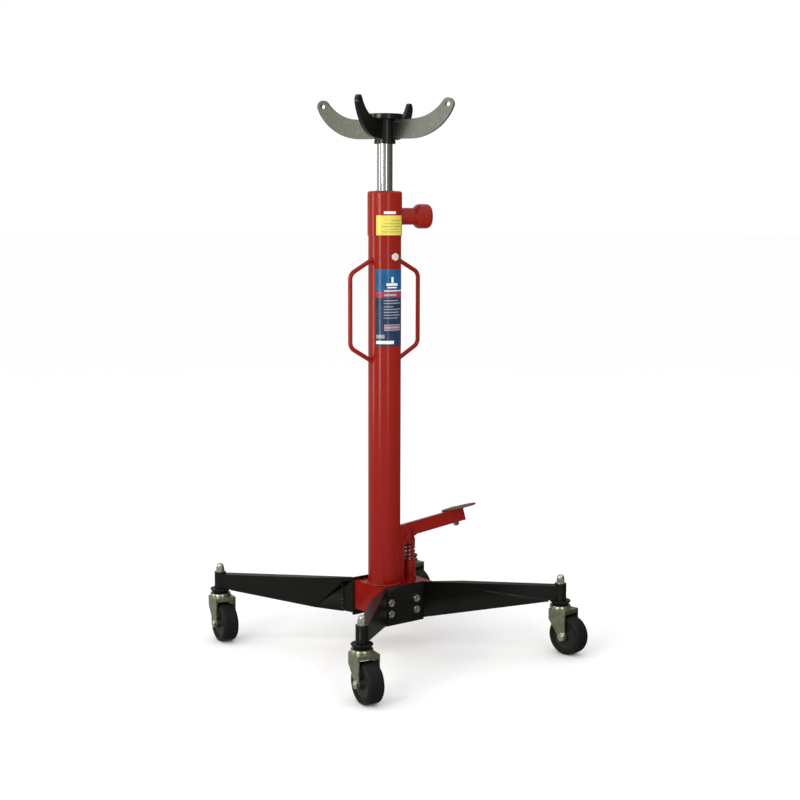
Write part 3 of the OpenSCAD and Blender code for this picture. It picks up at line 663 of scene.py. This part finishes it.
def patch(bm, radius, low, high, start, end, lift=0.10, thick=0.09):
    """A thin closed sheet on a cylinder, between two heights in millimetres and two headings in degrees."""
    across = max(2, int(abs(end - start) / 3))
    headings = [math.radians(start + (end - start) * k / across) for k in range(across + 1)]
    grid = []
    for layer in (lift, lift + thick):
        reach = radius + layer
        grid.append([[bm.verts.new(on_column(reach * math.cos(a), reach * math.sin(a), z).translation)
                      for a in headings] for z in (low, high)])
    inner, outer = grid
    for k in range(across):
        bm.faces.new((outer[0][k], outer[0][k + 1], outer[1][k + 1], outer[1][k]))
        bm.faces.new((inner[0][k + 1], inner[0][k], inner[1][k], inner[1][k + 1]))
        bm.faces.new((inner[0][k], inner[0][k + 1], outer[0][k + 1], outer[0][k]))
        bm.faces.new((outer[1][k], outer[1][k + 1], inner[1][k + 1], inner[1][k]))
    bm.faces.new((inner[0][0], outer[0][0], outer[1][0], inner[1][0]))
    bm.faces.new((outer[0][-1], inner[0][-1], inner[1][-1], outer[1][-1]))


def sticker(name, look, radius, areas, lift=0.10):
    bm = bmesh.new()
    for low, high, start, end in areas:
        patch(bm, radius, low, high, start, end, lift)
    piece(name, bm, "base", look, (), 35)


sticker("label_yellow", "yellow", COLLAR_R / MM, [(952, 996, -156, -52)])
sticker("label_yellow_lines", "ink", COLLAR_R / MM,
        [(984, 985, -104, -60), (977, 978, -128, -70), (971, 972, -140, -62), (965, 966, -120, -75),
         (959, 960, -138, -66)], 0.22)
sticker("label_strip", "white", COLLAR_R / MM, [(999, 1005, -130, -88)])
sticker("label_blue", "blue", COLUMN_R / MM, [(825, 876, -161, -33)])
sticker("label_red_band", "crimson", COLUMN_R / MM, [(813, 825, -161, -33)])
sticker("label_navy", "navy", COLUMN_R / MM, [(703, 813, -161, -33)])
sticker("label_marks", "white", COLUMN_R / MM,
        [(846, 859, -103, -95), (839.5, 845, -121, -77), (834, 837, -117, -81), (827, 829.2, -129, -41),
         (708.5, 716, -157, -93)], 0.22)
text_rows = [(805, -72), (799, -60), (791.5, -96), (785.5, -58), (779, -70), (772.5, -62), (766, -76)]
sticker("label_lines", "pale", COLUMN_R / MM,
        [(816.6, 821, -128, -82)] + [(z, z + 2.1, -130, end) for z, end in text_rows]
        + [(738.6, 752.6, -128, -62), (721, 729.5, -157, -127)], 0.22)
sticker("label_badge", "crimson", COLUMN_R / MM, [(741, 743.5, -124, -66), (748, 750.5, -124, -66)], 0.34)

# ---- carried-over nodes ----

for node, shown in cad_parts.items():
    if shown.hide_render:
        continue
    kind = shown.data.materials[0].name.split(".")[0]
    shown.material_slots[0].material = LOOKS[kind].material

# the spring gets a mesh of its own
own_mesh(spring)

# ---- studio ----

VIEW_HEADING = 52.5


def studio_sheet():
    bm = bmesh.new()
    bmesh.ops.create_circle(bm, cap_ends=True, segments=96, radius=60.0)
    mesh = bpy.data.meshes.new("studio_floor")
    bm.to_mesh(mesh)
    bm.free()
    floor = bpy.data.objects.new("studio_floor", mesh)
    bpy.context.scene.collection.objects.link(floor)
    look = Look("studio_floor", "none", Specular_IOR_Level=0.0, Roughness=1.0)
    cloud = look.span(look.noise(0.8, 2), 0.3, 0.7)
    look.set("Base Color", look.mix(cloud, (0.985, 0.985, 0.985), (0.98, 0.98, 0.98)))
    mesh.materials.append(look.material)
    floor.visible_glossy = False


def reflection_tent():
    """A large soft surround that only glossy surfaces see: brighter on one side of the object."""
    bm = bmesh.new()
    bmesh.ops.create_uvsphere(bm, u_segments=96, v_segments=48, radius=7.0)
    mesh = bpy.data.meshes.new("studio_tent")
    bm.to_mesh(mesh)
    bm.free()
    tent = bpy.data.objects.new("studio_tent", mesh)
    bpy.context.scene.collection.objects.link(tent)
    tent.matrix_world = Matrix.Translation((0, 0, 0.7)) @ spin(VIEW_HEADING + 180)
    material = bpy.data.materials.new("studio_tent")
    material.use_nodes = True
    tree = material.node_tree
    tree.nodes.clear()
    where = tree.nodes.new("ShaderNodeTexCoord")
    split = tree.nodes.new("ShaderNodeSeparateXYZ")
    tree.links.new(where.outputs["Object"], split.inputs[0])
    turn = tree.nodes.new("ShaderNodeMath")
    turn.operation = "ARCTAN2"
    tree.links.new(split.outputs["Y"], turn.inputs[0])
    tree.links.new(split.outputs["X"], turn.inputs[1])
    share = tree.nodes.new("ShaderNodeMapRange")
    share.inputs["From Min"].default_value = -math.pi
    share.inputs["From Max"].default_value = math.pi
    tree.links.new(turn.outputs[0], share.inputs["Value"])
    ramp = tree.nodes.new("ShaderNodeValToRGB")
    tree.links.new(share.outputs["Result"], ramp.inputs[0])
    stops = [(0.0, 0.42), (0.12, 0.45), (0.25, 0.30), (0.36, 0.26), (0.5, 0.34), (0.6, 0.26), (0.68, 0.12),
             (0.80, 0.07), (0.94, 0.05), (1.0, 0.30)]
    while len(ramp.color_ramp.elements) < len(stops):
        ramp.color_ramp.elements.new(0.5)
    for element, (place, level) in zip(ramp.color_ramp.elements, stops):
        element.position = place
        element.color = (level, level * 0.995, level * 0.93, 1)
    rise = tree.nodes.new("ShaderNodeMapRange")
    rise.interpolation_type = "SMOOTHSTEP"
    for socket, number in (("From Min", 1.6), ("From Max", 5.5), ("To Min", 0.0), ("To Max", 1.0)):
        rise.inputs[socket].default_value = number
    tree.links.new(split.outputs["Z"], rise.inputs["Value"])
    blend = tree.nodes.new("ShaderNodeMix")
    blend.data_type = "RGBA"
    tree.links.new(rise.outputs["Result"], blend.inputs[0])
    tree.links.new(ramp.outputs["Color"], blend.inputs[6])
    blend.inputs[7].default_value = (0.75, 0.75, 0.72, 1)
    glow = tree.nodes.new("ShaderNodeEmission")
    tree.links.new(blend.outputs[2], glow.inputs["Color"])
    out = tree.nodes.new("ShaderNodeOutputMaterial")
    tree.links.new(glow.outputs[0], out.inputs["Surface"])
    material.cycles.emission_sampling = "NONE"
    mesh.materials.append(material)
    for ray in ("camera", "diffuse", "transmission", "volume_scatter", "shadow"):
        setattr(tent, "visible_" + ray, False)


def softbox(name, turn, width, height, radiance, distance=3.3, middle=1.55,
            tint=(1.0, 0.985, 0.95)):
    """A soft box turned so many degrees from the camera, to its right if positive, and facing the column."""
    heading = math.radians(VIEW_HEADING + 180 + turn)
    data = bpy.data.lights.new(name, "AREA")
    data.shape = "RECTANGLE"
    data.size, data.size_y = width, height
    data.energy = radiance * math.pi * width * height
    data.color = tint
    lamp = bpy.data.objects.new(name, data)
    lamp.location = (math.cos(heading) * distance, math.sin(heading) * distance, middle)
    aim = Vector((0, 0, middle)) - lamp.location
    lamp.rotation_mode = "QUATERNION"
    lamp.rotation_quaternion = aim.to_track_quat("-Z", "Y")
    lamp.visible_camera = False
    bpy.context.scene.collection.objects.link(lamp)


studio_sheet()
reflection_tent()
softbox("softbox_left", -84, 0.80, 2.9, 3.4)
softbox("softbox_inner", -33, 0.34, 2.9, 8.5)
softbox("softbox_right", 24, 0.36, 2.9, 3.6)
softbox("softbox_saddle", -43, 0.90, 0.50, 10.0, middle=1.42, tint=(1.0, 1.0, 0.80))

world = bpy.data.worlds.new("studio")
bpy.context.scene.world = world
world.use_nodes = True
world.node_tree.nodes["Background"].inputs["Color"].default_value = (1.0, 1.0, 1.0, 1)
world.node_tree.nodes["Background"].inputs["Strength"].default_value = 1.0
bpy.context.scene.view_settings.view_transform = "Standard"

camera_data = bpy.data.cameras.new("camera")
camera_data.lens = 66.415
camera_data.sensor_width = 36.0
camera = bpy.data.objects.new("camera", camera_data)
ahead = Vector((0.60759291, 0.78377924, -0.12853386)).normalized()
level = ahead.cross(Vector((0, 0, 1))).normalized()
upright = level.cross(ahead)
tilt = 0.00297
right = level * math.cos(tilt) + upright * math.sin(tilt)
up = upright * math.cos(tilt) - level * math.sin(tilt)
turn = Matrix((right, up, -ahead)).transposed().to_4x4()
camera.matrix_world = Matrix.Translation((-2.03275, -2.64108, 1.01087)) @ turn
bpy.context.scene.collection.objects.link(camera)
bpy.context.scene.camera = camera
